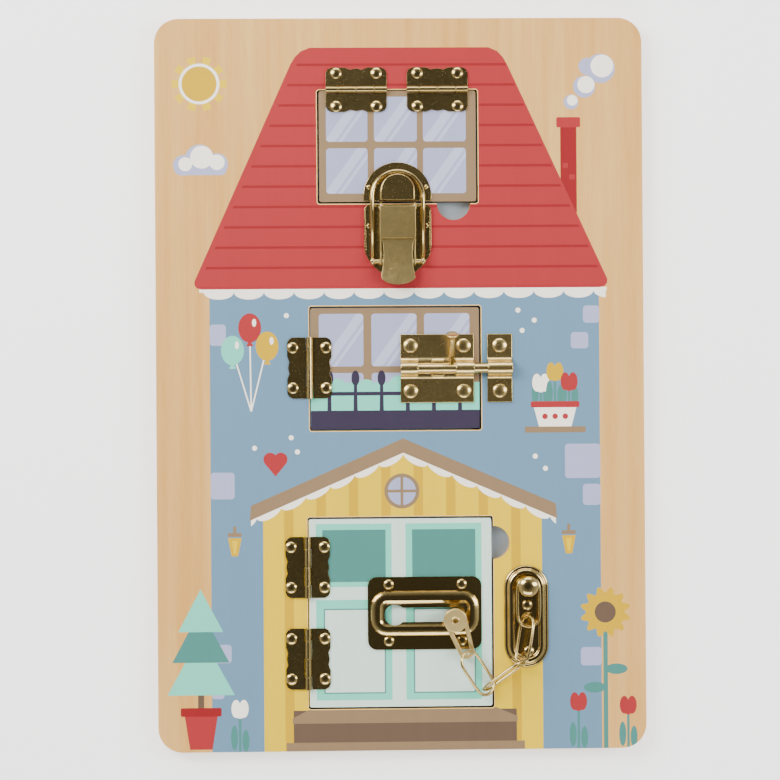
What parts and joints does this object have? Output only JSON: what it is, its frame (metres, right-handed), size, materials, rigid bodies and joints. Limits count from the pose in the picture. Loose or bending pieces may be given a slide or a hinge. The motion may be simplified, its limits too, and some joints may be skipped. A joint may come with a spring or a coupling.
{
  "type": "wooden busy board",
  "caption": "House-shaped wooden latch board with hinged roof window, middle window and front door, held by a toggle latch, a barrel bolt and a sliding door chain.",
  "frame": {"origin": "middle of the board's back face", "axes": "the board lies on its back: +X to the right of the house, +Y up the house to its roof, +Z out of the play face"},
  "size_m": [0.24, 0.36, 0.0241],
  "materials": {
    "printed_wood": "pale plywood with a matte colour print of a house",
    "back_sheet_wood": "pale bare plywood, printed grey-blue where it shows in the finger notches",
    "plate_brass": "polished, brass-plated",
    "rivet_brass": "polished, brass-plated round heads",
    "pin_brass": "brass-plated wire",
    "chain_brass": "polished, brass-plated wire"
  },
  "bodies": {
    "frame": {"back_panel": "back_sheet_wood", "front_board": "printed_wood", "roof_hinge_left_fixed_leaf": "plate_brass", "roof_hinge_left_pin": "pin_brass", "roof_hinge_right_fixed_leaf": "plate_brass", "roof_hinge_right_pin": "pin_brass", "middle_hinge_fixed_leaf": "plate_brass", "middle_hinge_pin": "pin_brass", "door_hinge_upper_fixed_leaf": "plate_brass", "door_hinge_upper_pin": "pin_brass", "door_hinge_lower_fixed_leaf": "plate_brass", "door_hinge_lower_pin": "pin_brass", "roof_hinge_frame_rivets": "rivet_brass", "middle_hinge_frame_rivets": "rivet_brass", "door_hinge_frame_rivets": "rivet_brass", "latch_base": "plate_brass", "latch_base_rivets": "rivet_brass", "lever_pivot_pin": "pin_brass", "bolt_keeper": "plate_brass", "keeper_rivets": "rivet_brass", "anchor_plate": "plate_brass", "anchor_button": "plate_brass", "anchor_screws": "rivet_brass"},
    "roof_window": {"roof_window_panel": "printed_wood", "roof_hinge_left_moving_leaf": "plate_brass", "roof_hinge_right_moving_leaf": "plate_brass", "roof_hinge_window_rivets": "rivet_brass", "strike_plate": "plate_brass", "strike_rivets": "rivet_brass"},
    "middle_window": {"middle_window_panel": "printed_wood", "middle_hinge_moving_leaf": "plate_brass", "middle_hinge_window_rivets": "rivet_brass", "bolt_plate": "plate_brass", "bolt_rivets": "rivet_brass"},
    "door": {"door_panel": "printed_wood", "door_hinge_upper_moving_leaf": "plate_brass", "door_hinge_lower_moving_leaf": "plate_brass", "door_hinge_door_rivets": "rivet_brass", "slot_plate": "plate_brass", "slot_plate_rivets": "rivet_brass"},
    "lever": {"latch_lever": "plate_brass", "bail_pin": "pin_brass"},
    "bail": {"latch_bail": "plate_brass"},
    "bolt_rod": {"bolt_rod": "plate_brass"},
    "bolt_knob": {"bolt_knob": "plate_brass"},
    "slider": {"chain_slider": "plate_brass"},
    "end_link": {"slider_end_link": "chain_brass"},
    "link_1": {"anchor_link": "chain_brass"},
    "link_2": {"chain_link_2": "chain_brass"},
    "link_3": {"chain_link_3": "chain_brass"},
    "link_4": {"chain_link_4": "chain_brass"}
  },
  "joints": [
    {"name": "roof_window_hinge", "type": "hinge", "parent": "frame", "child": "roof_window", "pos_m": [-0.001, 0.1448, 0.0107], "axis": [-1, 0, 0], "range_deg": [0, 165]},
    {"name": "middle_window_hinge", "type": "hinge", "parent": "frame", "child": "middle_window", "pos_m": [-0.0448, 0.0082, 0.0107], "axis": [0, -1, 0], "range_deg": [0, 150]},
    {"name": "door_hinge", "type": "hinge", "parent": "frame", "child": "door", "pos_m": [-0.0463, -0.1122, 0.0107], "axis": [0, -1, 0], "range_deg": [0, 165]},
    {"name": "latch_lever_pivot", "type": "hinge", "parent": "frame", "child": "lever", "pos_m": [-0.001, 0.0864, 0.013], "axis": [-1, 0, 0], "range_deg": [0, 100]},
    {"name": "latch_bail_pivot", "type": "hinge", "parent": "lever", "child": "bail", "pos_m": [-0.001, 0.0603, 0.0121], "axis": [-1, 0, 0], "range_deg": [-130, 0]},
    {"name": "bolt_throw", "type": "slide", "parent": "middle_window", "child": "bolt_rod", "axis": [-1, 0, 0], "range_m": [0, 0.0128]},
    {"name": "bolt_knob_turn", "type": "hinge", "parent": "bolt_rod", "child": "bolt_knob", "pos_m": [0.02486, 0.0076, 0.012], "axis": [1, 0, 0], "range_deg": [-12, 132]},
    {"name": "chain_slider_travel", "type": "slide", "parent": "door", "child": "slider", "axis": [-1, 0, 0], "range_m": [0, 0.0294]},
    {"name": "end_link_swing", "type": "hinge", "parent": "slider", "child": "end_link", "pos_m": [0.0256, -0.1146, 0.01155], "axis": [0, 0.1736, -0.9848], "range_deg": [0, 75]},
    {"name": "anchor_link_swing", "type": "hinge", "parent": "frame", "child": "link_1", "pos_m": [0.0618, -0.0996, 0.0134], "axis": [0, 0, 1], "range_deg": [0, 15]},
    {"name": "link_2_swing", "type": "hinge", "parent": "link_1", "child": "link_2", "pos_m": [0.0617, -0.1135, 0.0134], "axis": [0, 0, 1], "range_deg": [0, 15]},
    {"name": "link_3_swing", "type": "hinge", "parent": "link_2", "child": "link_3", "pos_m": [0.059, -0.1355, 0.017], "axis": [0, 0, 1], "range_deg": [0, 18]},
    {"name": "link_4_swing", "type": "hinge", "parent": "link_3", "child": "link_4", "pos_m": [0.043, -0.1518, 0.015], "axis": [0, 0, 1], "range_deg": [0, 20]}
  ],
  "couplings": [
    {"joint": "latch_bail_pivot", "follows": "latch_lever_pivot", "ratio": -1.3}
  ]
}
